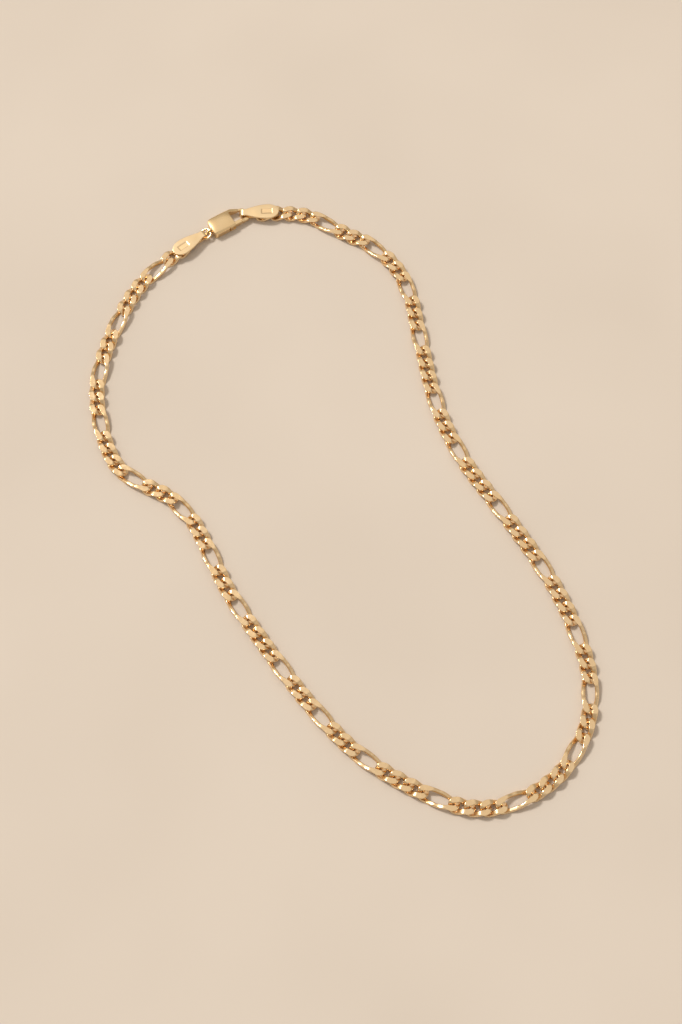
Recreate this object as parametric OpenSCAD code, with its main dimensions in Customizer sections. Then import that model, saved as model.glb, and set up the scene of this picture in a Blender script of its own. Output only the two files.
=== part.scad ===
// Figaro neck chain, fastened and lying on a table.
// Runs of two or three short links stand between single long links. Every link
// is twisted, so that its neighbours lie flat in it, and its faces are ground flat.
// Each end of the chain has a folded tag. A spring clasp and a jump ring join them.
// Millimetres, +Z up, table at Z = 0, origin in the middle of the laid loop.

/* [Chain] */
// Length of chain that one short link takes up
short_pitch = 3.82; // [3.5:0.02:4.4]
// Length of chain that one long link takes up
long_pitch = 7.92; // [6.6:0.02:9.4]
// Clear width inside a link, before it is twisted
link_gap = 1.85; // [1.75:0.05:2.1]
// Length over which the end of a link rounds off
link_end = 1.3; // [1.2:0.05:1.5]
// Width of the wire, seen from above
wire_w = 1.35; // [1.15:0.05:1.4]
// Width of the wire along the bars of a long link
long_wire_w = 0.95; // [0.8:0.05:1.2]
// Height of the wire
wire_t = 1; // [0.85:0.05:1.1]
// Thickness of the chain between its ground faces
chain_t = 1.76; // [1.7:0.02:2.1]
// Free play between the ends of two links
link_play = 0.2; // [0.15:0.05:0.35]

/* [End tags] */
// Length from the wire that the tag holds to its joint with the chain
tag_pitch = 7.9; // [7.2:0.1:9.5]
// Width of the tag where it is widest
tag_w = 4.5; // [3.8:0.1:5.5]
// Width of the tag's neck, beside its fold
neck_w = 2; // [1.7:0.1:2.4]
// Width of the fold itself
fold_w = 1.5; // [1.2:0.05:1.7]
// Thickness of the tag's sheet
tag_t = 0.45; // [0.35:0.05:0.55]
// Length that the tag reaches past its joint with the chain
tag_reach = 1.45; // [1.2:0.05:2]
// Length of the plain sunk panel on the tag
panel_len = 3; // [2:0.1:3.6]
// Width of the plain sunk panel
panel_w = 1.5; // [1:0.1:1.9]
// Depth of the plain sunk panel
panel_deep = 0.06; // [0.04:0.02:0.14]

/* [Jump ring] */
// Radius of the jump ring, to the middle of its wire
ring_r = 1.4; // [1.35:0.05:1.7]
// Thickness of the jump ring's wire
ring_wire = 0.65; // [0.5:0.05:0.7]

/* [Clasp] */
// Length of the clasp from the hook's bar to the jump ring
clasp_pitch = 11; // [10.4:0.1:13]
// Thickness of the clasp's body
clasp_t = 2.6; // [2.5:0.1:3.2]
// Width of the clasp's body on the lever's side of its middle line
low_side = 2.35; // [2.2:0.05:2.8]
// Width of the clasp's tail on the other side of its middle line
high_side = 2.95; // [2.6:0.05:3.4]
// Width that the clasp gains on that side towards its window
high_rise = 0.35; // [0:0.05:0.6]
// Length of the window in the hook
window_len = 3.5; // [3.3:0.1:3.7]
// Width of the hook's bar, which the tag holds
bar_w = 0.95; // [0.8:0.05:1.1]
// Width of the window above the clasp's middle line
window_high = 1.5; // [1.3:0.05:1.7]
// Width that the window gains on that side towards the clasp's body
window_rise = 1; // [0.6:0.05:1.1]
// Width of the window below the clasp's middle line
window_low = 1.05; // [0.9:0.05:1.15]
// Thickness of the eye's wall at the clasp's tail
eye_wall = 0.45; // [0.35:0.05:0.55]
// Width of the eye at the clasp's tail
eye_w = 0.7; // [0.5:0.05:0.9]

/* [Lever] */
// Length of the lever from its pivot to its tip
lever_len = 3.15; // [2.9:0.05:3.4]
// Width of the lever's arm
lever_w = 0.95; // [0.75:0.05:1.05]
// Thickness of the lever
lever_t = 1.5; // [1.1:0.05:1.6]
// Diameter of the pin that the lever turns on
pin_d = 0.66; // [0.5:0.02:0.8]
// Angle that the lever opens
lever_open = 25; // [15:1:28]

/* [Fits] */
// Gap between pieces that lie in each other
fit = 0.12; // [0.1:0.01:0.16]
// Radial clearance of the lever on its pin
pin_play = 0.05; // [0.02:0.01:0.08]
// Radial clearance of the pin in the clasp's body
pin_seat = 0.02; // [0.01:0.01:0.04]

/* [Hidden] */
gold = [0.93, 0.73, 0.43];
pale_gold = [0.96, 0.79, 0.52];
$fn = 48;

// Points that the laid chain passes through, from its first joint at the left tag
// and round the table, back through the clasp. Their curve is sized to the chain.
route = [[-42.5, 71], [-52.5, 60.5], [-59, 46], [-62.3, 31.5], [-61, 19], [-57, 8],
         [-51.5, 2.5], [-43.5, -1.5], [-37.5, -6.5], [-31.5, -17.5], [-26, -29],
         [-14, -47], [-4.5, -59.5], [6, -70.5], [19.5, -79], [31.5, -83.5],
         [42, -82.5], [52.5, -76.5], [59.5, -67], [62.5, -55], [60.5, -41.5],
         [54, -25], [43.5, -7.5], [33, 8.5], [26.5, 24.5], [22.5, 44.5],
         [19, 61.5], [11, 72.5], [3.5, 76.5], [-7, 82.5], [-16.5, 83.5],
         [-25, 83], [-34, 77.5]];
// Steps of the curve between two of the points
route_steps = 12;
// Short links before, between and after the long links, from the left tag on
runs = [1, 3, 2, 2, 3, 2, 2, 2, 3, 2, 2, 3, 3, 3, 2, 2, 3, 3, 3, 2, 3, 2, 2, 2, 3];
// Links in the left one of the chain's two nodes
left_count = 42;

// Shape of a link: steps of its rounded end, sides of its wire, how square its
// end is, how far into its end the twist runs, how late in a long link it starts
end_steps = 3;
wire_sides = 6;
end_square = 2.3;
twist_share = 0.5;
long_delay = 2;
// Share of the link's half width at which the wires of two links cross
cross_share = 0.56;
// Points along each side of a long link, between its ends, the share of its half
// length at which its wire starts to narrow, and the share over which it narrows
long_points = 1;
slim_from = 0.8;
slim_over = 0.45;

// The twist lifts one wire over the other where they cross
link_half = (link_gap + wire_w) / 2;
link_twist = asin((wire_t + link_play) / (2 * cross_share * link_half));
half_t = chain_t / 2;

// The tag's upper leaf lies over the links, its fold reaches down to the table
leaf_z = chain_t + fit;
tag_h = leaf_z + tag_t;
fold_r = tag_h / 2;
tag_len = tag_pitch + tag_reach;
wide_at = 0.68 * tag_len;
neck_end = 0.04 * tag_len;
panel_at = 0.65 * tag_len;
own_link_at = tag_pitch - short_pitch / 2;
own_link_end = own_link_at - half_of(0);
// A post of solder joins the leaf to that link, this share of its half width out
post_share = 0.6;

// The hook's bar is round and passes between the tag's leaves
bar_t = tag_h - 2 * tag_t - 4 * fit;
bar_round = 0.42;
bar_shoulder = 0.12;
bar_clear = 0.5;
arm_lap = 0.6;
arm_tip = 0.3;

// The eye stands a little above the middle of the clasp's tail
mid_z = clasp_t / 2;
eye_z = mid_z + 0.3;
eye_r = ring_wire / 2 + fit + 0.1;
eye_out = eye_r + eye_wall;
tail_x = -clasp_pitch + eye_r;
edge_round = 0.6;

// The ring lies low in the left tag's fold and higher in the clasp's eye
ring_low = tag_t + fit + ring_wire / 2;
ring_tilt = asin((eye_z - ring_low) / (2 * ring_r));
ring_pitch = 2 * ring_r * cos(ring_tilt);

// The lever's pivot, in the clasp's own frame, and the slot that it turns in
lever_gap = 0.1;
root_wall = 0.38;
pin_cap = 0.25;
nose_len = 1.38;
window_x0 = -bar_w / 2 - window_len;
nose_x = -bar_w / 2 - nose_len;
lever_y = -window_low - lever_w / 2;
pivot_x = nose_x - lever_gap - lever_len;
root_r = pin_d / 2 + pin_play + root_wall;
slot_t = lever_t + 2 * fit;
swing = (window_x0 - pivot_x) * sin(lever_open) + lever_w / 2 * cos(lever_open);
slot_top = lever_y + max(root_r, swing) + fit;

// Lengths along the chain and places of its joints
kinds = [for (i = [0:len(runs) - 1])
    each concat([for (k = [1:1:runs[i]]) 0], i < len(runs) - 1 ? [1] : [])];
chain_len = sum([for (k = kinds) pitch_of(k)]);
joint_at = running([for (k = kinds) pitch_of(k)]);
loop_len = chain_len + 2 * tag_pitch + clasp_pitch + ring_pitch;

// The closed curve through the route's points, scaled to the length of the loop
curve = [for (i = [0:len(route) - 1], k = [0:route_steps - 1])
    spline(route_point(i - 1), route_point(i), route_point(i + 1), route_point(i + 2),
           k / route_steps)];
closed = concat(curve, [curve[0]]);
raw_at = running([for (i = [0:len(curve) - 1]) norm(closed[i + 1] - closed[i])]);
grow = loop_len / raw_at[len(raw_at) - 1];
x_at = [for (i = [0:len(closed) - 1]) [raw_at[i] * grow, closed[i].x * grow]];
y_at = [for (i = [0:len(closed) - 1]) [raw_at[i] * grow, closed[i].y * grow]];

// Where the pieces between the chain's two ends meet
tag_end_at = chain_len + tag_pitch;
eye_at = tag_end_at + clasp_pitch;
ring_end_at = eye_at + ring_pitch;
chain_end = on_route(chain_len);
hook_point = on_route(tag_end_at);
eye_point = on_route(eye_at);
ring_point = on_route(ring_end_at);

// The fold leaves room for the bar, which crosses it at the route's own angle
fold_turn = abs(heading(eye_point, hook_point) - heading(hook_point, chain_end));
grip = bar_w / 2 / cos(fold_turn) + fold_w / 2 * tan(fold_turn) + fit;
fold_x = fold_r - tag_t - grip;

function pitch_of(kind) = kind == 0 ? short_pitch : long_pitch;

function half_of(kind) = (pitch_of(kind) + wire_w + link_play) / 2;

// Width of a link's wire at X: the bars of a long link are slimmer than its ends
function width_at(kind, x) = let (
    t = kind == 0 ? 0 : max(0, min(1, (slim_from - abs(x) / half_of(kind)) / slim_over)))
    wire_w + (long_wire_w - wire_w) * pow(t, 2) * (3 - 2 * t);

function sum(list) = list * [for (v = list) 1];

function running(list) =
    [for (i = 0, s = 0; i <= len(list); s = s + (i < len(list) ? list[i] : 0), i = i + 1) s];

function clamp(v, most) = max(-most, min(most, v));

function unit(v) = v / norm(v);

function route_point(i) = route[(i + len(route)) % len(route)];

function on_route(s) = [lookup(s, x_at), lookup(s, y_at)];

function heading(a, b) = atan2(b.y - a.y, b.x - a.x);

// Point of a smooth curve from b to c, at share t of the way
function spline(a, b, c, d, t) =
    (2 * b + (c - a) * t + (2 * a - 5 * b + 4 * c - d) * pow(t, 2)
     + (3 * b - a - 3 * c + d) * pow(t, 3)) / 2;

// Middle line of a link seen from above, anticlockwise from its front end
function link_plan(kind) = let (
    run = half_of(kind) - link_end,
    extra = kind == 0 ? 0 : long_points,
    quarter = [for (i = [0:end_steps]) let (a = 90 * i / end_steps)
        [run + link_end * pow(cos(a), 2 / end_square), link_half * pow(sin(a), 2 / end_square)]],
    side = [for (j = [1:1:extra]) [run - 2 * run * j / (extra + 1), link_half]],
    back = [for (i = [end_steps:-1:0]) [-quarter[i].x, quarter[i].y]],
    upper = concat(quarter, side, back))
    concat(upper, [for (i = [len(upper) - 2:-1:1]) [upper[i].x, -upper[i].y]]);

// The same line twisted: the front end one way and the back end the other
function link_line(kind) = let (
    reach = half_of(kind) - link_end * (1 - twist_share),
    delay = kind == 0 ? 1 : long_delay)
    [for (p = link_plan(kind)) let (
        share = clamp(p.x / reach, 1),
        turn = -link_twist * sign(share) * pow(sin(90 * abs(share)), delay))
        [p.x, p.y * cos(turn), p.y * sin(turn)]];

// Rings of points round the wire, cut off at the chain's ground faces
function link_points(kind) = let (line = link_line(kind), n = len(line))
    [for (i = [0:n - 1]) let (
        along = unit(line[(i + 1) % n] - line[(i + n - 1) % n]),
        outward = unit(cross(along, [0, 0, 1])),
        upward = cross(outward, along))
        each [for (k = [0:wire_sides - 1]) let (
            a = 360 * k / wire_sides,
            p = line[i] + outward * width_at(kind, line[i].x) / 2 * cos(a)
                + upward * wire_t / 2 * sin(a))
            [p.x, p.y, clamp(p.z, half_t)]]];

function link_faces(n) = [for (i = [0:n - 1], k = [0:wire_sides - 1]) let (
    next_i = (i + 1) % n,
    next_k = (k + 1) % wire_sides,
    a = i * wire_sides + k,
    b = next_i * wire_sides + k,
    c = next_i * wire_sides + next_k,
    d = i * wire_sides + next_k)
    each [[a, c, b], [a, d, c]]];

short_points = link_points(0);
long_ring_points = link_points(1);

// Outline through anticlockwise corners, each rounded by its own radius
function softened(corners, radii, steps = 6) = let (n = len(corners))
    [for (i = [0:n - 1]) let (
        p = corners[i],
        back = unit(corners[(i + n - 1) % n] - p),
        ahead = unit(corners[(i + 1) % n] - p),
        half = acos(back * ahead) / 2,
        middle = p + unit(back + ahead) * radii[i] / sin(half),
        first = heading(middle, p + back * radii[i] / tan(half)))
        each [for (k = [0:steps]) let (a = first + (180 - 2 * half) * k / steps)
            middle + radii[i] * [cos(a), sin(a)]]];

// The same for an upright box; its radii start at the lower left corner
function rounded(x0, y0, x1, y1, radii) =
    softened([[x0, y0], [x1, y0], [x1, y1], [x0, y1]], radii);

function even(r) = [r, r, r, r];

// Half width of the tag's upper leaf, from its neck to its round end
function leaf_half(x) = let (
    share = max(0, min(1, (x - neck_end) / (wide_at - neck_end))))
    x < wide_at ? (neck_w + (tag_w - neck_w) * sin(90 * share)) / 2
                : tag_w / 2 * sqrt(max(0, 1 - pow((x - wide_at) / (tag_len - wide_at), 2)));

leaf_steps = 14;
leaf_x = concat([for (i = [0:leaf_steps]) fold_x + (wide_at - fold_x) * i / leaf_steps],
                [for (i = [1:leaf_steps]) wide_at + (tag_len - wide_at) * sin(90 * i / leaf_steps)]);

module link(kind) {
    pts = kind == 0 ? short_points : long_ring_points;
    polyhedron(pts, link_faces(len(pts) / wire_sides));
}

module chain_run(first, last) {
    for (i = [first:last]) {
        from = on_route(joint_at[i]);
        to = on_route(joint_at[i + 1]);
        mid = (from + to) / 2;
        translate([mid.x, mid.y, half_t])
            rotate([0, 0, heading(from, to)])
                link(kinds[i]);
    }
}

module chain_left() {
    color(gold) chain_run(0, left_count - 1);
}

module chain_right() {
    color(gold) chain_run(left_count, len(kinds) - 1);
}

// Tag in its own frame: the wire that it holds at X = 0, the chain towards +X
module end_tag() {
    difference() {
        translate([0, 0, leaf_z])
            linear_extrude(tag_t)
                polygon(concat([for (x = leaf_x) [x, leaf_half(x)]],
                               [for (i = [len(leaf_x) - 2:-1:0]) [leaf_x[i], -leaf_half(leaf_x[i])]]));
        translate([panel_at - panel_len / 2, -panel_w / 2, tag_h - panel_deep])
            cube([panel_len, panel_w, tag_t]);
    }
    // Fold round the wire, and the short lower leaf
    translate([fold_x, fold_w / 2, fold_r])
        rotate([90, 0, 0])
            linear_extrude(fold_w)
                difference() {
                    circle(fold_r);
                    circle(fold_r - tag_t);
                    translate([0, -tag_h])
                        square([tag_h, 2 * tag_h]);
                }
    translate([fold_x, -fold_w / 2, 0])
        cube([own_link_end + wire_w / 2 - fold_x, fold_w, tag_t]);
    // The link that is soldered to both leaves
    translate([own_link_at, 0, half_t])
        link(0);
    translate([own_link_end + wire_w / 2, link_half * post_share, half_t])
        cylinder(r = wire_w / 2, h = leaf_z + tag_t / 2 - half_t);
}

module place_between(from, to) {
    translate([from.x, from.y, 0])
        rotate([0, 0, heading(from, to)])
            children();
}

module end_tag_left() {
    color(pale_gold) place_between(ring_point, on_route(0)) end_tag();
}

module end_tag_right() {
    color(pale_gold) place_between(hook_point, chain_end) end_tag();
}

module jump_ring() {
    color(gold)
        place_between(ring_point, eye_point)
            translate([ring_pitch / 2, 0, (ring_low + eye_z) / 2])
                rotate([0, -ring_tilt, 0])
                    rotate_extrude()
                        translate([ring_r, 0])
                            circle(ring_wire / 2);
}

// Clasp in its own frame: the hook's bar at X = 0, the tail towards -X
module clasp_plan() {
    shoulder = high_side + high_rise;
    polygon(softened([[tail_x, -low_side], [window_x0, -low_side], [window_x0, shoulder],
                      [tail_x, high_side]], [1, 0.3, 0.5, 1.1]));
    polygon(softened([[window_x0 - arm_lap, lever_y - lever_w / 2], [bar_w / 2, lever_y - lever_w / 2],
                      [bar_w / 2, window_high + arm_tip], [window_x0 + arm_lap, shoulder],
                      [window_x0 - arm_lap, shoulder - high_rise / 8]], [0.2, 0.7, 0.6, 0.8, 0.02]));
}

module clasp_profile() {
    bar_z = fold_r;
    polygon([[tail_x, 0], [window_x0, 0], [-bar_w, bar_z - bar_t / 2], [bar_w, bar_z - bar_t / 2],
             [bar_w, bar_z + bar_t / 2], [-bar_w, bar_z + bar_t / 2], [window_x0, clasp_t],
             [tail_x, clasp_t]]);
}

module clasp_shell() {
    intersection() {
        linear_extrude(clasp_t)
            clasp_plan();
        translate([0, high_side + 2, 0])
            rotate([90, 0, 0])
                linear_extrude(low_side + high_side + 3)
                    clasp_profile();
        translate([tail_x - 1, 0, 0])
            rotate([90, 0, 90])
                linear_extrude(clasp_pitch + 3)
                    polygon(rounded(-low_side, 0, high_side + high_rise, clasp_t, even(edge_round)));
    }
}

module clasp_body_solid() {
    difference() {
        clasp_shell();
        // Window, and the mouth that the lever closes
        translate([0, 0, -1])
            linear_extrude(clasp_t + 2)
                polygon(softened([[window_x0, -window_low], [-bar_w / 2, -window_low],
                                  [-bar_w / 2, window_high], [window_x0, window_high + window_rise]],
                                 [0.1, 0.2, 0.15, 0.4]));
        translate([window_x0, -low_side - 1, -1])
            cube([nose_x - window_x0, low_side + 1 - window_low / 2, clasp_t + 2]);
        translate([-bar_w / 2 - bar_clear, bar_shoulder - window_low, -1])
            cube([bar_w + 2 * bar_clear, window_low + window_high - 2 * bar_shoulder, clasp_t + 2]);
        // Slot for the lever's root, and its pin's hole, which is closed at the top
        translate([pivot_x - root_r - fit, -low_side - 1, mid_z - slot_t / 2])
            cube([window_x0 - pivot_x + root_r + 1, low_side + 1 + slot_top, slot_t]);
        translate([pivot_x, lever_y, -1])
            cylinder(r = pin_d / 2 + pin_seat, h = clasp_t - pin_cap + 1);
    }
    // Round bar that the right tag folds over
    translate([0, window_high, fold_r])
        rotate([90, 0, 0])
            linear_extrude(window_low + window_high)
                polygon(rounded(-bar_w / 2, -bar_t / 2, bar_w / 2, bar_t / 2, even(bar_round)));
    // Eye for the jump ring
    difference() {
        union() {
            translate([tail_x - eye_r, eye_w / 2, eye_z])
                rotate([90, 0, 0])
                    cylinder(r = eye_out, h = eye_w);
            translate([tail_x - eye_r, -eye_w / 2, eye_z - eye_out])
                cube([eye_r + 0.5, eye_w, 2 * eye_out]);
        }
        translate([tail_x - eye_r, eye_w, eye_z])
            rotate([90, 0, 0])
                cylinder(r = eye_r, h = 2 * eye_w);
    }
}

module lever_solid() {
    difference() {
        translate([0, 0, mid_z - lever_t / 2])
            linear_extrude(lever_t) {
                translate([pivot_x, lever_y])
                    circle(root_r);
                polygon(rounded(pivot_x, lever_y - lever_w / 2, nose_x - lever_gap,
                                lever_y + lever_w / 2, [0.1, 0.15, 0.15, 0.1]));
            }
        translate([pivot_x, lever_y, 0])
            cylinder(r = pin_d / 2 + pin_play, h = clasp_t);
    }
}

module in_clasp() {
    translate([hook_point.x, hook_point.y, 0])
        rotate([0, 0, heading(eye_point, hook_point)])
            children();
}

module clasp_body() {
    color(pale_gold) in_clasp() clasp_body_solid();
}

module clasp_lever() {
    color(gold) in_clasp() lever_solid();
}

module lever_pin() {
    color(gold)
        in_clasp()
            translate([pivot_x, lever_y, fit / 2])
                cylinder(r = pin_d / 2, h = clasp_t - pin_cap - fit);
}

chain_left();
chain_right();
end_tag_left();
end_tag_right();
jump_ring();
clasp_body();
clasp_lever();
lever_pin();
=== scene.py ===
# Gold figaro neck chain, fastened and lying in a loose loop on a pale floor
import math
import random

import bmesh
import bpy
import numpy as np
from mathutils import Matrix, Vector


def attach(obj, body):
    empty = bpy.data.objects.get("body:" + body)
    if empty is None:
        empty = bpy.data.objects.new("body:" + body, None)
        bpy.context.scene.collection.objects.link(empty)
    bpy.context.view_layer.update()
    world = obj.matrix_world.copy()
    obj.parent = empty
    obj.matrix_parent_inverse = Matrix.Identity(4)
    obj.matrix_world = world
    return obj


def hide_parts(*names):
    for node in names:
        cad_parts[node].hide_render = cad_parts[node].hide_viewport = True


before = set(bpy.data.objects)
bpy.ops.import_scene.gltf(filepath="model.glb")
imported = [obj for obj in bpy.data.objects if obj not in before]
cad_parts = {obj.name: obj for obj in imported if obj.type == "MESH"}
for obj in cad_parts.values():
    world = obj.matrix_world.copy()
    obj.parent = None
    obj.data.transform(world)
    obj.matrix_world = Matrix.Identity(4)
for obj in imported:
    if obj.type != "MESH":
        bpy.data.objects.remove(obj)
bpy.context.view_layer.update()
chance = random.Random(7)
mm = 0.001
print("frame loaded:", len(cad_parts), "nodes")


# Socket maths: a Wire is one socket of a shader, so that 1 - mask can be written as it is read
class Wire:
    def __init__(self, shader, socket):
        self.shader = shader
        self.socket = socket

    def maths(self, kind, first, second):
        return self.shader.node("ShaderNodeMath", {"operation": kind}, {0: first, 1: second})

    def __add__(self, other):
        return self.maths("ADD", self, other)

    def __radd__(self, other):
        return self.maths("ADD", other, self)

    def __sub__(self, other):
        return self.maths("SUBTRACT", self, other)

    def __rsub__(self, other):
        return self.maths("SUBTRACT", other, self)

    def __mul__(self, other):
        return self.maths("MULTIPLY", self, other)

    def __rmul__(self, other):
        return self.maths("MULTIPLY", other, self)


class Shader:
    def __init__(self, name):
        self.material = bpy.data.materials.new(name)
        self.material.use_nodes = True
        self.tree = self.material.node_tree
        self.surface = self.tree.nodes["Principled BSDF"]

    def feed(self, socket, value):
        if isinstance(value, Wire):
            self.tree.links.new(value.socket, socket)
        else:
            socket.default_value = value

    # One way to make any node: its type, its settings, then what goes into its sockets
    def node(self, kind, settings=None, inputs=None, out=0):
        made = self.tree.nodes.new(kind)
        for key, value in (settings or {}).items():
            setattr(made, key, value)
        for key, value in (inputs or {}).items():
            self.feed(made.inputs[key], value)
        return Wire(self, made.outputs[out])

    # A place on the piece, in its own coordinates
    def place(self, stretch=(1, 1, 1)):
        here = self.node("ShaderNodeTexCoord", out=3)
        return self.node("ShaderNodeMapping", {"vector_type": "POINT"},
                         {"Vector": here, "Scale": stretch})

    def noise(self, scale, detail=3.0, rough=0.5, stretch=(1, 1, 1)):
        return self.node("ShaderNodeTexNoise", {"noise_dimensions": "3D"},
                         {"Vector": self.place(stretch), "Scale": scale, "Detail": detail,
                          "Roughness": rough})

    # 0 up to the low value and 1 from the high one on
    def between(self, value, low, high):
        return self.node("ShaderNodeMapRange", {"clamp": True},
                         {"Value": value, "From Min": low, "From Max": high})

    def patches(self, scale, detail):
        return self.between(self.noise(scale, detail), 0.35, 0.65)

    # A Mix node's colours are its sockets 6 and 7, and its output 2
    def blend(self, share, first, second):
        return self.node("ShaderNodeMix", {"data_type": "RGBA", "blend_type": "MIX"},
                         {0: share, 6: first, 7: second}, out=2)

    # What the mesh's points carry under this name
    def mark(self, name):
        return self.node("ShaderNodeAttribute", {"attribute_name": name}, out=2)

    def bump(self, height, distance, strength):
        normal = self.node("ShaderNodeBump", None,
                           {"Height": height, "Distance": distance, "Strength": strength})
        self.feed(self.surface.inputs["Normal"], normal)

    def set(self, **values):
        for key, value in values.items():
            self.feed(self.surface.inputs[key.replace("_", " ")], value)


# Gold: polished ground faces; inside the links a duller finish where polish doesn't reach, and
# painted shade, a redder and darker colour where shade falls between the wires.
# Each noise here and below is its scale, its detail, its roughness and its stretch
chainFinish = {
    "face": (0.93, 0.7, 0.435, 1),
    # painted shade: the darker, redder colour given to the insides of the links
    "insideShade": (0.66, 0.37, 0.07, 1),
    "tint": (0.89, 0.61, 0.3, 1),
    "tintShare": 0.35,
    "insideShadeShare": 0.55,
    "insideShadePatches": 0.25,      # more of it in patches
    "faceRough": 0.2,
    "deepRough": 0.3,
    "hazeRough": 0.09,
    "fineRough": 0.05,
    "cloud": (260, 2),
    "haze": (1400, 3, 0.6),
    "fine": (9000, 3, 0.6),
    "scratch": (2600, 2, 0.5, (1, 7, 1)),
    "scrape": (2400, 2, 0.5, (6, 1, 1)),
    "dents": (700, 2, 0.5),
    "sway": (230, 1, 0.4),    # slow unevenness of hand polishing
    "scratchHigh": 0.07,
    "groundCalm": 0.6,        # share of the dents that grinding takes away
    "swayHigh": 3.2,
    "fineHigh": 0.05,
    "bump": (0.00005, 0.55),  # distance and strength
}


def makeChainGold(look):
    gold = Shader("chainGold")
    ground = gold.mark("ground")
    inner = gold.mark("inner")
    patch = gold.patches(*look["cloud"])
    fine = gold.noise(*look["fine"])
    haze = gold.between(gold.noise(*look["haze"]), 0.4, 0.7)
    body = gold.blend(patch * look["tintShare"], look["face"], look["tint"])
    # Painted shade: the insides of the wires turn darker and redder, more so in patches
    insideShadeShare = inner * (look["insideShadeShare"] + look["insideShadePatches"] * patch)
    rough = (look["faceRough"] + inner * (look["deepRough"] - look["faceRough"])
             + haze * look["hazeRough"] + (fine - 0.5) * look["fineRough"])
    height = (gold.noise(*look["scratch"]) * look["scratchHigh"]
              + gold.noise(*look["scrape"]) * look["scratchHigh"]
              + gold.noise(*look["dents"]) * (1.0 - look["groundCalm"] * ground)
              + gold.noise(*look["sway"]) * look["swayHigh"]
              + fine * look["fineHigh"])
    gold.bump(height, *look["bump"])
    gold.set(Base_Color=gold.blend(insideShadeShare, body, look["insideShade"]), Roughness=rough, Metallic=1.0)
    return gold.material


tagFinish = {
    "face": (0.93, 0.72, 0.45, 1),
    "tint": (0.9, 0.64, 0.33, 1),
    "sunk": (0.7, 0.51, 0.3, 1),
    "tintShare": 0.3,
    "sunkShare": 0.7,
    "rough": 0.27,
    "brushedRough": 0.08,
    "sunkRough": 0.15,
    "cloud": (420, 3),
    "brushed": (1500, 3, 0.6, (1, 6, 1)),
    "fine": (8000, 3, 0.6),
    "dents": (900, 2),
    "brushedHigh": 0.3,
    "fineHigh": 0.15,
    "dentsHigh": 0.7,
    "bump": (0.00002, 0.4),
}


def makeTagGold(look):
    gold = Shader("tagGold")
    sunk = gold.mark("sunk")
    brushed = gold.noise(*look["brushed"])
    patch = gold.patches(*look["cloud"])
    body = gold.blend(patch * look["tintShare"], look["face"], look["tint"])
    colour = gold.blend(sunk * look["sunkShare"], body, look["sunk"])
    rough = look["rough"] + brushed * look["brushedRough"] + sunk * look["sunkRough"]
    height = (brushed * look["brushedHigh"] + gold.noise(*look["fine"]) * look["fineHigh"]
              + gold.noise(*look["dents"]) * look["dentsHigh"])
    gold.bump(height, *look["bump"])
    gold.set(Base_Color=colour, Roughness=rough, Metallic=1.0)
    return gold.material


claspFinish = {
    "face": (0.92, 0.695, 0.41, 1),
    "tint": (0.88, 0.61, 0.29, 1),
    "tintShare": 0.25,
    "rough": 0.2,
    "hazeRough": 0.05,
    "cloud": (300, 1),
    "haze": (1900, 2, 0.5, (1, 5, 1)),
    "scratch": (1900, 2, 0.5, (1, 8, 1)),
    "dents": (500, 2, 0.5),
    "fine": (8000, 2),
    "scratchHigh": 0.15,
    "dentsHigh": 0.15,
    "fineHigh": 0.1,
    "bump": (0.00002, 0.4),
}
pinFinish = dict(claspFinish, rough=0.26)


def makeClaspGold(name, look):
    gold = Shader(name)
    patch = gold.patches(*look["cloud"])
    haze = gold.between(gold.noise(*look["haze"]), 0.3, 0.7)
    colour = gold.blend(patch * look["tintShare"], look["face"], look["tint"])
    height = (gold.noise(*look["scratch"]) * look["scratchHigh"]
              + gold.noise(*look["dents"]) * look["dentsHigh"]
              + gold.noise(*look["fine"]) * look["fineHigh"])
    gold.bump(height, *look["bump"])
    gold.set(Base_Color=colour, Roughness=look["rough"] + haze * look["hazeRough"], Metallic=1.0)
    return gold.material


chainGold = makeChainGold(chainFinish)
tagGold = makeTagGold(tagFinish)
claspGold = makeClaspGold("claspGold", claspFinish)
pinGold = makeClaspGold("pinGold", pinFinish)
print("finishes made")

# The loop that the chain lies in: its listed points, in millimetres
route = [(-42.5, 71), (-52.5, 60.5), (-59, 46), (-62.3, 31.5), (-61, 19), (-57, 8), (-51.5, 2.5),
         (-43.5, -1.5), (-37.5, -6.5), (-31.5, -17.5), (-26, -29), (-14, -47), (-4.5, -59.5),
         (6, -70.5), (19.5, -79), (31.5, -83.5), (42, -82.5), (52.5, -76.5), (59.5, -67),
         (62.5, -55), (60.5, -41.5), (54, -25), (43.5, -7.5), (33, 8.5), (26.5, 24.5),
         (22.5, 44.5), (19, 61.5), (11, 72.5), (3.5, 76.5), (-7, 82.5), (-16.5, 83.5),
         (-25, 83), (-34, 77.5)]
routeSteps = 12  # of the curve between two of the points
# Short links before, between and after the long ones
runs = [1, 3, 2, 2, 3, 2, 2, 2, 3, 2, 2, 3, 3, 3, 2, 2, 3, 3, 3, 2, 3, 2, 2, 2, 3]

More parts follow.
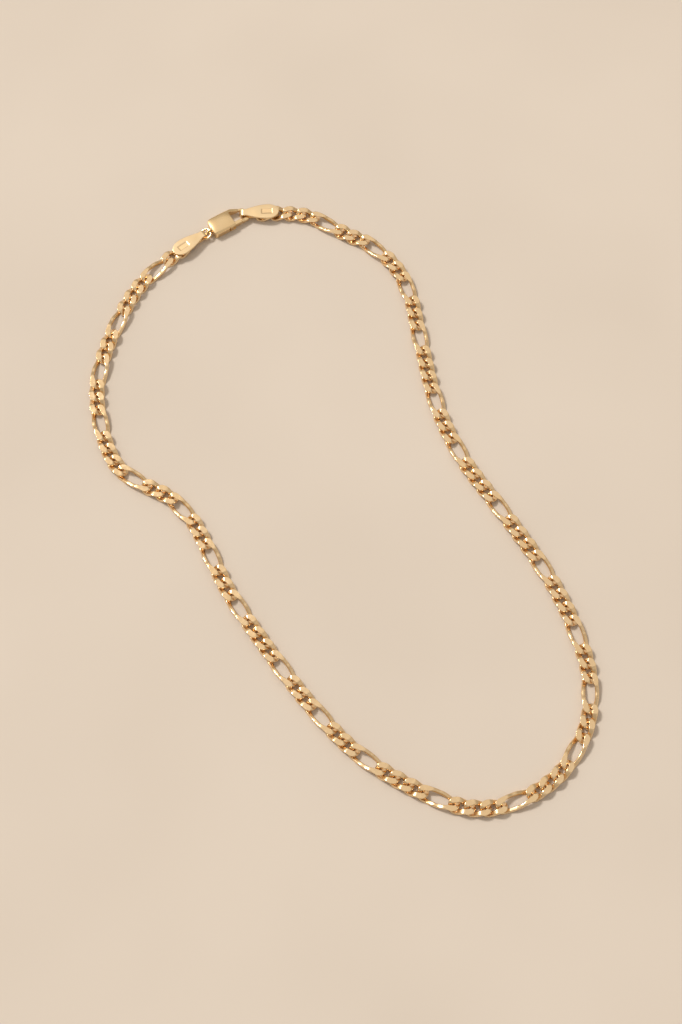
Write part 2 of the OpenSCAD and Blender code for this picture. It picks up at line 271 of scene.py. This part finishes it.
# Sizes in millimetres
chain = {
    "shortPitch": 3.82,
    "longPitch": 7.92,
    "gap": 1.85,          # inside width before the twist
    "endLength": 1.3,
    "wire": 1.35,         # width of the wire, seen from above
    "barWire": 0.98,      # and along the bars of a long link
    "slimFrom": 0.8,      # share of a long link's half length at which its wire narrows
    "slimOver": 0.45,     # and the share over which it does
    "wireHeight": 1.0,
    "thickness": 1.76,    # between the ground faces
    "play": 0.2,
    "square": 2.3,        # how square a link's end is
    "twistShare": 0.5,    # share of a link's end that is twisted in full
    "crossShare": 0.56,   # share of its half width at which two wires cross
    "longDelay": 2.0,     # how late in a long link its twist starts
    "bulge": 0.1,         # how far a long link's bars bow out
    "hump": 0.04,         # share by which a short link's sides bow out
    "section": 2.6,       # how square the wire is
    "wireFlat": 0.88,     # the wire is rolled flat at this share of its height
    "soft": 0.11,         # polishing rounds the ground edges over this depth
    "around": 76,
    "aroundLong": 92,
    "sides": 26,
    "bendFrom": 0.8,      # from this share of its straight side a link has more points,
    "bendPoints": 2.6,    # this many times as many
    "leftCount": 42,
    "tilt": 0.9,          # degrees that a link may lean
}
tag = {
    "pitch": 7.9,
    "width": 4.5,
    "neck": 2.0,
    "fold": 1.5,
    "sheet": 0.45,
    "reach": 1.45,
    "neckAt": 0.04,       # shares of the tag's length: the end of its neck,
    "wideAt": 0.68,       # its widest place
    "panelAt": 0.65,      # and the middle of the panel
    "panelLength": 3.0,
    "panelWidth": 1.5,
    "panelDepth": 0.06,
    "panelEdge": (-0.13, 0.07),
    "crown": 0.05,        # height of the leaf's gentle dome,
    "crownFrom": (0.5, 3.5),
    "rim": 0.13,          # radius of its polished rim
    "thinnest": 0.05,
    "tipShare": 0.12,     # share of its thickness that is left at its round end,
    "tipHalf": 0.03,      # and its half width there
    "neckFade": 0.35,     # share of the fold over which the neck narrows
    "leafSteps": 120,
    "foldSteps": 32,
    "lowSteps": 12,
    "across": 44,
    "crowding": 0.9,      # power that crowds the rows towards the rim
    "ownLift": 0.015,     # keeps the own link's ground face off the lower leaf's
    "postShare": 0.6,     # share of the link's half width at which the solder stands
    "postFoot": 1.1,
    "postSides": 24,
    "crease": 38,         # degrees from which an edge is sharp
}
ring = {
    "radius": 1.4,
    "wire": 0.65,
    "around": 96,
    "sides": 28,
    "seamAt": 1.2,        # angle of the soldered seam
    "seamHigh": 0.06,
    "seamWide": 0.05,
    "grooveDeep": 0.05,   # and of the grooves beside it
    "grooveOut": 0.09,
    "grooveWide": 0.03,
}
clasp = {"pitch": 11.0, "thickness": 2.6, "fit": 0.12, "barWidth": 0.95, "eyeRise": 0.3}

halfThick = chain["thickness"] / 2
leafZ = chain["thickness"] + clasp["fit"]
tagHigh = leafZ + tag["sheet"]
foldRadius = tagHigh / 2
tagLength = tag["pitch"] + tag["reach"]
wideAt = tag["wideAt"] * tagLength
linkHalf = (chain["gap"] + chain["wire"]) / 2
wireCross = 2 * chain["crossShare"] * linkHalf
linkTwist = math.asin((chain["wireHeight"] + chain["play"]) / wireCross)
eyeZ = clasp["thickness"] / 2 + clasp["eyeRise"]
ringLow = tag["sheet"] + clasp["fit"] + ring["wire"] / 2
ringTilt = math.asin((eyeZ - ringLow) / (2 * ring["radius"]))
ringPitch = 2 * ring["radius"] * math.cos(ringTilt)

kinds = []
for i, count in enumerate(runs):
    kinds += ["short"] * count
    if i < len(runs) - 1:
        kinds.append("long")
pitches = [chain[kind + "Pitch"] for kind in kinds]
jointAt = np.concatenate([[0], np.cumsum(pitches)])
chainLength = jointAt[-1]
hookAt = chainLength + tag["pitch"]
eyeAt = hookAt + clasp["pitch"]
ringAt = eyeAt + ringPitch
loopLength = ringAt + tag["pitch"]


def closedCurve(points, steps):
    spots = np.array(points, float)
    count = len(spots)
    line = []
    for i in range(count):
        a, b, c, d = (spots[(i + k) % count] for k in (-1, 0, 1, 2))
        for k in range(steps):
            t = k / steps
            line.append((2 * b + (c - a) * t + (2 * a - 5 * b + 4 * c - d) * t ** 2
                         + (3 * b - a - 3 * c + d) * t ** 3) / 2)
    line.append(line[0])
    return np.array(line)


curve = closedCurve(route, routeSteps)
curveAt = np.concatenate([[0], np.cumsum(np.linalg.norm(np.diff(curve, axis=0), axis=1))])
grow = loopLength / curveAt[-1]
curve = curve * grow
curveAt = curveAt * grow


def onRoute(along):
    return Vector((float(np.interp(along, curveAt, curve[:, 0])),
                   float(np.interp(along, curveAt, curve[:, 1])), 0))


def heading(start, end):
    return math.atan2(end.y - start.y, end.x - start.x)


def frameAt(start, end):
    return Matrix.Translation(start) @ Matrix.Rotation(heading(start, end), 4, "Z")


startPoint = onRoute(0)
chainEnd = onRoute(chainLength)
hookPoint = onRoute(hookAt)
eyePoint = onRoute(eyeAt)
ringPoint = onRoute(ringAt)


# Meshes are drawn in millimetres and brought to metres where they become a piece
def makePiece(name, mesh, material, body, nodes):
    mesh.transform(Matrix.Scale(mm, 4))
    mesh.materials.clear()
    mesh.materials.append(material)
    piece = bpy.data.objects.new(name, mesh)
    bpy.context.scene.collection.objects.link(piece)
    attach(piece, body)
    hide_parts(*nodes)


# Middle line of a link's wire, and the wire's width along it
def linkLine(kind):
    half = (chain[kind + "Pitch"] + chain["wire"] + chain["play"]) / 2
    straight = half - chain["endLength"]
    # A quarter of the line, much finer than the mesh, is mirrored into the whole
    angle = np.linspace(0, math.pi / 2, 240)
    endX = straight + chain["endLength"] * np.cos(angle) ** (2 / chain["square"])
    endY = linkHalf * np.sin(angle) ** (2 / chain["square"])
    side = np.linspace(straight, 0, 60)[1:]
    quarterX = np.concatenate([endX, side])
    quarterY = np.concatenate([endY, np.full(len(side), linkHalf)])
    if kind == "long":
        bow = np.clip(1 - np.abs(quarterX) / straight, 0, 1)
        quarterY = quarterY + chain["bulge"] * np.sin(bow * math.pi / 2) ** 2
    x = np.concatenate([quarterX, -quarterX[-2::-1]])
    y = np.concatenate([quarterY, quarterY[-2::-1]])
    x = np.concatenate([x, x[-2:0:-1]])
    y = np.concatenate([y, -y[-2:0:-1]])
    loop = np.stack([np.append(x, x[0]), np.append(y, y[0])], 1)
    # The line is cut anew, with more points where the link bends
    step = np.linalg.norm(np.diff(loop, axis=0), axis=1)
    bends = np.abs(loop[:-1, 0]) > straight * chain["bendFrom"]
    at = np.concatenate([[0], np.cumsum(step * (1 + (chain["bendPoints"] - 1) * bends))])
    count = chain["aroundLong"] if kind == "long" else chain["around"]
    want = np.arange(count) / count * at[-1]
    x = np.interp(want, at, loop[:, 0])
    y = np.interp(want, at, loop[:, 1])
    # The twist turns the link's sides, one way at each end
    reach = half - chain["endLength"] * (1 - chain["twistShare"])
    share = np.clip(x / reach, -1, 1)
    late = chain["longDelay"] if kind == "long" else 1
    turn = -linkTwist * np.sign(share) * np.sin(np.abs(share) * math.pi / 2) ** late
    slim = 0 * x
    if kind == "long":
        slim = np.clip((chain["slimFrom"] - np.abs(x) / half) / chain["slimOver"], 0, 1)
    width = chain["wire"] + (chain["barWire"] - chain["wire"]) * slim ** 2 * (3 - 2 * slim)
    across = y * np.cos(turn)
    if kind == "short":
        edge = linkHalf * math.cos(linkTwist * math.sin(straight / reach * math.pi / 2))
        bowed = np.sign(y) * edge * (1 + chain["hump"] * (1 - (x / straight) ** 2))
        across = np.where(np.abs(x) < straight, bowed, across)
    return np.stack([x, across, y * np.sin(turn)], 1), width


def linkMesh(kind):
    line, width = linkLine(kind)
    count = len(line)
    along = np.roll(line, -1, 0) - np.roll(line, 1, 0)
    along /= np.linalg.norm(along, axis=1)[:, None]
    outward = np.cross(along, (0, 0, 1))
    outward /= np.linalg.norm(outward, axis=1)[:, None]
    upward = np.cross(outward, along)
    shape = bmesh.new()
    innerMark = shape.verts.layers.float.new("inner")
    groundMark = shape.verts.layers.float.new("ground")
    soft = chain["soft"]
    rings = []
    for i in range(count):
        loop = []
        for k in range(chain["sides"]):
            a = 2 * math.pi * (k + 0.5) / chain["sides"]
            u = math.copysign(abs(math.cos(a)) ** (2 / chain["section"]), math.cos(a))
            v = math.copysign(abs(math.sin(a)) ** (2 / chain["section"]), math.sin(a))
            v = max(-chain["wireFlat"], min(chain["wireFlat"], v))
            spot = (line[i] + outward[i] * u * width[i] / 2
                    + upward[i] * v * chain["wireHeight"] / 2)
            # Both faces are ground flat, and their edges polished round
            over = max(0.0, min(1.0, (abs(spot[2]) - halfThick + soft) / (2 * soft)))
            if over > 0:
                spot[2] = math.copysign(halfThick - soft * (1 - over) ** 2, spot[2])
            vert = shape.verts.new(spot)
            # The inner mark runs up the inside of the wire: it carries painted shade and a rougher
            # finish
            onSide = abs(v) < chain["wireFlat"]
            vert[innerMark] = max(0.0, -u) ** 2 * (1 - over) if onSide else 0.0
            vert[groundMark] = over
            loop.append(vert)
        rings.append(loop)
    for i in range(count):
        here, after = rings[i], rings[(i + 1) % count]
        for k in range(chain["sides"]):
            j = (k + 1) % chain["sides"]
            shape.faces.new((here[k], after[k], after[j], here[j])).smooth = True
    bmesh.ops.recalc_face_normals(shape, faces=shape.faces)
    made = bpy.data.meshes.new(kind + "Link")
    shape.to_mesh(made)
    shape.free()
    return made


linkMeshes = {"short": linkMesh("short"), "long": linkMesh("long")}


# Each link lies between two joints of the route and leans a little its own way
def placeLinks(first, last):
    shape = bmesh.new()
    for i in range(first, last):
        start = onRoute(jointAt[i])
        end = onRoute(jointAt[i + 1])
        half = (end - start).length / 2
        lean = [math.radians(chance.uniform(-1, 1) * chain["tilt"]) for _ in range(2)]
        if kinds[i] == "long":
            lean = [a / 2 for a in lean]
        lift = half * abs(math.sin(lean[1])) + linkHalf * abs(math.sin(lean[0])) * 0.5
        middle = (start + end) / 2 + Vector((0, 0, halfThick + lift))
        place = (Matrix.Translation(middle) @ Matrix.Rotation(heading(start, end), 4, "Z")
                 @ Matrix.Rotation(lean[0], 4, "X") @ Matrix.Rotation(lean[1], 4, "Y"))
        one = linkMeshes[kinds[i]].copy()
        one.transform(place)
        shape.from_mesh(one)
        bpy.data.meshes.remove(one)
    made = bpy.data.meshes.new("links")
    shape.to_mesh(made)
    shape.free()
    return made


makePiece("chainLinksLeft", placeLinks(0, chain["leftCount"]), chainGold,
          "necklace", ["chain_left"])
makePiece("chainLinksRight", placeLinks(chain["leftCount"], len(kinds)), chainGold,
          "necklace", ["chain_right"])
print("chain laid:", len(kinds), "links,", round(chainLength, 1), "mm")


# End tag: one strip of sheet, from its round end, round the fold and back under
def leafHalf(x):
    neckEnd = tag["neckAt"] * tagLength
    if x < wideAt:
        share = max(0.0, min(1.0, (x - neckEnd) / (wideAt - neckEnd)))
        return (tag["neck"] + (tag["width"] - tag["neck"]) * math.sin(share * math.pi / 2)) / 2
    return tag["width"] / 2 * math.sqrt(max(0.0, 1 - ((x - wideAt) / (tagLength - wideAt)) ** 2))


def softStep(value, low, high):
    share = max(0.0, min(1.0, (value - low) / (high - low)))
    return share * share * (3 - 2 * share)


# Sections of the strip: their place, the way that they face, and their half width
def tagStations(foldX, lowEnd):
    middle = foldRadius - tag["sheet"] / 2
    stations = []
    for i in range(tag["leafSteps"] + 1):
        a = i / tag["leafSteps"]
        x = tagLength - (tagLength - foldX) * (1 - math.cos(a * math.pi / 2)) if a < 1 else foldX
        half = max(leafHalf(x), tag["tipHalf"])
        stations.append((x, tagHigh - tag["sheet"] / 2, 0, 1, half))
    for i in range(1, tag["foldSteps"] + 1):
        share = i / tag["foldSteps"]
        a = math.pi * share
        narrow = 1 - softStep(share, 0, tag["neckFade"])
        half = tag["fold"] / 2 + (tag["neck"] - tag["fold"]) / 2 * narrow
        stations.append((foldX - middle * math.sin(a), foldRadius + middle * math.cos(a),
                         -math.sin(a), math.cos(a), half))
    for i in range(1, tag["lowSteps"] + 1):
        x = foldX + (lowEnd - foldX) * i / tag["lowSteps"]
        stations.append((x, tag["sheet"] / 2, 0, -1, tag["fold"] / 2))
    return stations


def tagMesh(turn):
    grip = clasp["barWidth"] / 2 / math.cos(turn) + tag["fold"] / 2 * math.tan(turn) + clasp["fit"]
    foldX = foldRadius - tag["sheet"] - grip
    ownAt = tag["pitch"] - chain["shortPitch"] / 2
    ownEnd = ownAt - (chain["shortPitch"] + chain["wire"] + chain["play"]) / 2
    lowEnd = ownEnd + chain["wire"] / 2
    shape = bmesh.new()
    sunkMark = shape.verts.layers.float.new("sunk")
    rim = tag["rim"]
    panelAt = tag["panelAt"] * tagLength
    rings = []
    for n, (x, z, nx, nz, half) in enumerate(tagStations(foldX, lowEnd)):
        onLeaf = n <= tag["leafSteps"]
        tip = min(1.0, (tagLength - x) / rim) if onLeaf and x > wideAt else 1.0
        thin = tag["sheet"] / 2 * max(tag["tipShare"], math.sqrt(1 - (1 - tip) ** 2))
        loop = []
        for side in (1, -1):
            for k in range(tag["across"] + 1):
                v = side * (1 - 2 * k / tag["across"])
                v = math.copysign(math.sin(abs(v) * math.pi / 2) ** tag["crowding"], v)
                y = v * half
                inset = half - abs(y)
                edge = min(1.0, inset / rim)
                high = thin - rim * (1 - math.sqrt(max(0.0, 1 - (1 - edge) ** 2)))
                high = max(high, tag["thinnest"])
                sunk = 0.0
                if onLeaf and side == 1:
                    px = abs(x - panelAt)
                    corner = max(px - tag["panelLength"] / 2, abs(y) - tag["panelWidth"] / 2)
                    sunk = 1 - softStep(corner, *tag["panelEdge"])
                    high -= tag["panelDepth"] * sunk
                    crown = tag["crown"] * (1 - (y / max(half, 0.1)) ** 2)
                    high += crown * softStep(x, *tag["crownFrom"]) * (1 - sunk)
                vert = shape.verts.new((x + nx * high * side, y, z + nz * high * side))
                vert[sunkMark] = sunk
                loop.append(vert)
        rings.append(loop)
    total = len(rings[0])
    for here, after in zip(rings, rings[1:]):
        for k in range(total):
            j = (k + 1) % total
            shape.faces.new((here[k], here[j], after[j], after[k]))
    shape.faces.new(rings[0])
    shape.faces.new(list(reversed(rings[-1])))
    # The link that is soldered between the leaves, and its post of solder
    own = linkMeshes["short"].copy()
    own.transform(Matrix.Translation((ownAt, 0, halfThick + tag["ownLift"])))
    shape.from_mesh(own)
    bpy.data.meshes.remove(own)
    radius = chain["wire"] / 2
    postTop = leafZ + tag["sheet"] / 2
    post = bmesh.ops.create_cone(shape, cap_ends=True, segments=tag["postSides"],
                                 radius1=radius * tag["postFoot"], radius2=radius,
                                 depth=postTop - halfThick)
    bmesh.ops.translate(shape, verts=post["verts"],
                        vec=(lowEnd, linkHalf * tag["postShare"], (postTop + halfThick) / 2))
    bmesh.ops.recalc_face_normals(shape, faces=shape.faces)
    for face in shape.faces:
        face.smooth = True
    made = bpy.data.meshes.new("tag")
    shape.to_mesh(made)
    shape.free()
    made.set_sharp_from_angle(angle=math.radians(tag["crease"]))
    return made


foldTurn = abs(heading(eyePoint, hookPoint) - heading(hookPoint, chainEnd))
for name, start, end, node in (("endTagLeft", ringPoint, startPoint, "end_tag_left"),
                               ("endTagRight", hookPoint, chainEnd, "end_tag_right")):
    mesh = tagMesh(foldTurn)
    mesh.transform(frameAt(start, end))
    makePiece(name, mesh, tagGold, "necklace", [node])
print("end tags folded")


# Jump ring: round wire with a small soldered seam between two grooves
def ringMesh():
    around = ring["around"]
    sides = ring["sides"]
    shape = bmesh.new()
    loops = []
    for i in range(around):
        a = 2 * math.pi * i / around
        off = a - ring["seamAt"]
        seam = math.exp(-(off / ring["seamWide"]) ** 2)
        groove = math.exp(-((abs(off) - ring["grooveOut"]) / ring["grooveWide"]) ** 2)
        thick = ring["wire"] / 2 * (1 + ring["seamHigh"] * seam - ring["grooveDeep"] * groove)
        loop = []
        for k in range(sides):
            b = 2 * math.pi * k / sides
            reach = ring["radius"] + thick * math.cos(b)
            loop.append(shape.verts.new((reach * math.cos(a), reach * math.sin(a),
                                         thick * math.sin(b))))
        loops.append(loop)
    for i in range(around):
        here, after = loops[i], loops[(i + 1) % around]
        for k in range(sides):
            j = (k + 1) % sides
            shape.faces.new((here[k], after[k], after[j], here[j])).smooth = True
    bmesh.ops.recalc_face_normals(shape, faces=shape.faces)
    made = bpy.data.meshes.new("ring")
    shape.to_mesh(made)
    shape.free()
    return made


mesh = ringMesh()
mesh.transform(frameAt(ringPoint, eyePoint)
               @ Matrix.Translation((ringPitch / 2, 0, (ringLow + eyeZ) / 2))
               @ Matrix.Rotation(-ringTilt, 4, "Y"))
makePiece("jumpRing", mesh, claspGold, "necklace", ["jump_ring"])
print("jump ring made")

# Clasp: the solids of the frame with the soft edges of a cast and polished piece.
# Its top sinks towards its long sides (dome) and towards its ends
claspFrame = Matrix.Translation(hookPoint) @ Matrix.Rotation(heading(eyePoint, hookPoint), 4, "Z")
claspLook = {
    "voxel": 0.05,
    "smooth": 0.5,
    "rounds": 9,
    "dome": 0.26,
    "middle": 0.3,
    "halfWidth": 2.65,
    "ends": 0.16,
    "centre": -7.1,
    "halfLength": 3.2,
}
leverLook = dict(claspLook, rounds=6)


def softCopy(node, name, look):
    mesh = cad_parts[node].data.copy()
    mesh.transform(claspFrame.inverted() @ Matrix.Scale(1 / mm, 4))
    shape = bmesh.new()
    shape.from_mesh(mesh)
    bmesh.ops.remove_doubles(shape, verts=shape.verts, dist=1e-4)
    shape.to_mesh(mesh)
    shape.free()
    trial = bpy.data.objects.new(name + "Trial", mesh)
    bpy.context.scene.collection.objects.link(trial)
    remesh = trial.modifiers.new("remesh", "REMESH")
    remesh.mode = "VOXEL"
    remesh.voxel_size = look["voxel"]
    smooth = trial.modifiers.new("smooth", "SMOOTH")
    smooth.factor = look["smooth"]
    smooth.iterations = look["rounds"]
    seen = trial.evaluated_get(bpy.context.evaluated_depsgraph_get())
    made = bpy.data.meshes.new_from_object(seen)
    bpy.data.objects.remove(trial)
    bpy.data.meshes.remove(mesh)
    spots = np.zeros(len(made.vertices) * 3)
    made.vertices.foreach_get("co", spots)
    spots = spots.reshape(-1, 3)
    upper = np.clip((spots[:, 2] - clasp["thickness"] / 2) / (clasp["thickness"] / 2), 0, 1)
    across = (spots[:, 1] - look["middle"]) / look["halfWidth"]
    along = np.clip((spots[:, 0] - look["centre"]) / look["halfLength"], -1, 1)
    spots[:, 2] -= upper * (look["dome"] * across ** 2 + look["ends"] * along ** 4)
    made.vertices.foreach_set("co", spots.ravel())
    made.polygons.foreach_set("use_smooth", [True] * len(made.polygons))
    made.update()
    made.transform(claspFrame)
    return made


makePiece("claspBody", softCopy("clasp_body", "claspBody", claspLook), claspGold,
          "necklace", ["clasp_body"])
makePiece("claspLever", softCopy("clasp_lever", "claspLever", leverLook), claspGold,
          "lever", ["clasp_lever"])
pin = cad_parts["lever_pin"]
pin.data.materials.clear()
pin.data.materials.append(pinGold)
print("clasp made")

# Floor, light and camera
floorLook = {
    "size": 3.0,
    "colour": (0.71, 0.64, 0.575, 1),
    "shade": (0.68, 0.61, 0.545, 1),
    "cloud": (14, 2),
    "rough": 0.85,
}


def makeFloor(look):
    half = look["size"] / 2
    corners = [(-half, -half, 0), (half, -half, 0), (half, half, 0), (-half, half, 0)]
    made = bpy.data.meshes.new("floor")
    made.from_pydata(corners, [], [(0, 1, 2, 3)])
    floor = bpy.data.objects.new("floor", made)
    bpy.context.scene.collection.objects.link(floor)
    pale = Shader("paleFloor")
    colour = pale.blend(pale.patches(*look["cloud"]), look["colour"], look["shade"])
    pale.set(Base_Color=colour, Roughness=look["rough"])
    made.materials.append(pale.material)


makeFloor(floorLook)

# The area lights all face the middle of the chain
lights = [
    {"name": "window", "at": (-0.75, 0.3, 0.6), "size": 0.7, "power": 1.0,
     "colour": (1, 0.95, 0.88)},
    {"name": "overhead", "at": (0.0, 0.42, 0.85), "size": 0.8, "power": 0.65,
     "colour": (1, 0.95, 0.88)},
    {"name": "fill", "at": (0.6, -0.3, 0.7), "size": 0.9, "power": 0.45,
     "colour": (1, 0.93, 0.84)},
]
sunLook = {"power": 1.95, "spread": 12, "colour": (1, 0.94, 0.85), "towards": (0.62, -0.45, -1)}
room = {"colour": (1, 0.89, 0.75, 1), "strength": 0.46}
view = {
    "elevation": 65.5,
    "distance": 0.470334,
    "lens": 65,
    "sensor": 36,
    "aim": (0.001625, -0.0065014, 0.00098),
}


def placeLight(lamp, at, towards):
    stand = bpy.data.objects.new(lamp.name, lamp)
    stand.location = at
    stand.rotation_euler = Vector(towards).to_track_quat("-Z", "Y").to_euler()
    bpy.context.scene.collection.objects.link(stand)


for one in lights:
    lamp = bpy.data.lights.new(one["name"], "AREA")
    lamp.size = one["size"]
    lamp.energy = one["power"]
    lamp.color = one["colour"]
    placeLight(lamp, one["at"], -Vector(one["at"]))
sun = bpy.data.lights.new("sun", "SUN")
sun.energy = sunLook["power"]
sun.angle = math.radians(sunLook["spread"])
sun.color = sunLook["colour"]
placeLight(sun, (0, 0, 0), sunLook["towards"])
world = bpy.data.worlds.new("room")
world.use_nodes = True
world.node_tree.nodes["Background"].inputs["Color"].default_value = room["colour"]
world.node_tree.nodes["Background"].inputs["Strength"].default_value = room["strength"]
bpy.context.scene.world = world
bpy.context.scene.view_settings.view_transform = "Standard"

camera = bpy.data.cameras.new("camera")
camera.lens = view["lens"]
camera.sensor_fit = "VERTICAL"
camera.sensor_height = view["sensor"]
lift = math.radians(view["elevation"])
towards = Vector((0, math.cos(lift), -math.sin(lift)))
eye = bpy.data.objects.new("camera", camera)
eye.location = Vector(view["aim"]) - towards * view["distance"]
eye.rotation_euler = (math.pi / 2 - lift, 0, 0)
bpy.context.scene.collection.objects.link(eye)
bpy.context.scene.camera = eye
print("floor, light and camera set")
